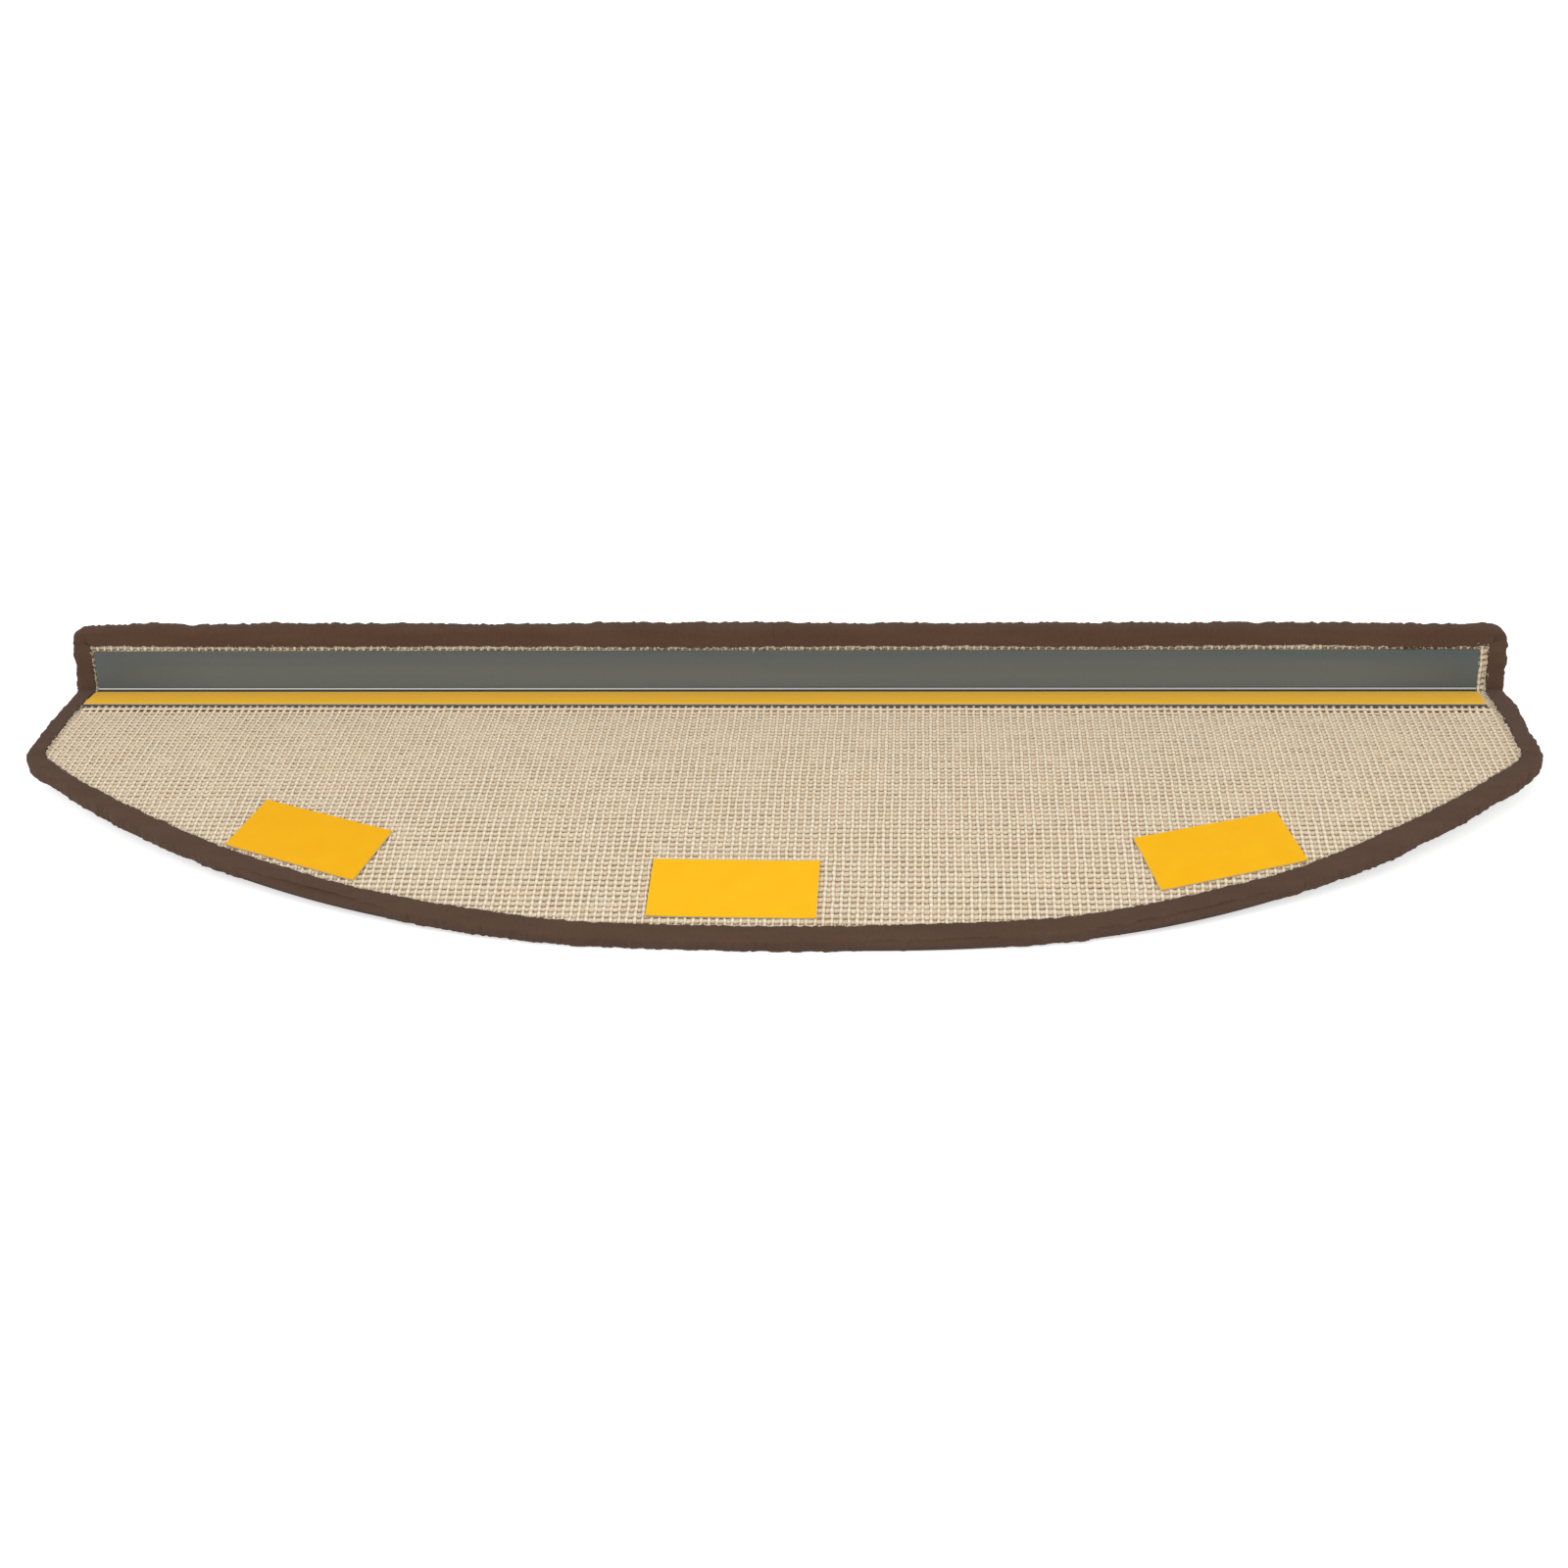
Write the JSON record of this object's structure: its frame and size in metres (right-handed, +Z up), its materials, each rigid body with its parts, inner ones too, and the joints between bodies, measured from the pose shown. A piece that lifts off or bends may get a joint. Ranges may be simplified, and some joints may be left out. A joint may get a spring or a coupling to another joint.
{
  "type": "anti slip stair tread mat",
  "caption": "Half-round carpet stair tread mat, underside up: woven backing, serged edge, folded nose with an angle strip, adhesive strip and pads under release liners.",
  "frame": {"origin": "middle of the base: halfway across the width and the depth, on the plane that the mat stands on", "axes": "+X along the nose, -Y towards the round front edge, +Y towards the nose flap, +Z up, away from the pile"},
  "size_m": [0.56, 0.1672, 0.0308],
  "materials": {
    "woven_backing": "matte",
    "serged_edge": "matte",
    "grey_profile": "satin",
    "adhesive": "matte",
    "release_liner": "satin"
  },
  "bodies": {
    "root": {"carpet": "woven_backing", "edge_binding": "serged_edge", "angle_profile": "grey_profile", "profile_tape": "adhesive", "profile_liner": "release_liner", "pad_tape_left": "adhesive", "pad_liner_left": "release_liner", "pad_tape_centre": "adhesive", "pad_liner_centre": "release_liner", "pad_tape_right": "adhesive", "pad_liner_right": "release_liner"}
  },
  "joints": []
}
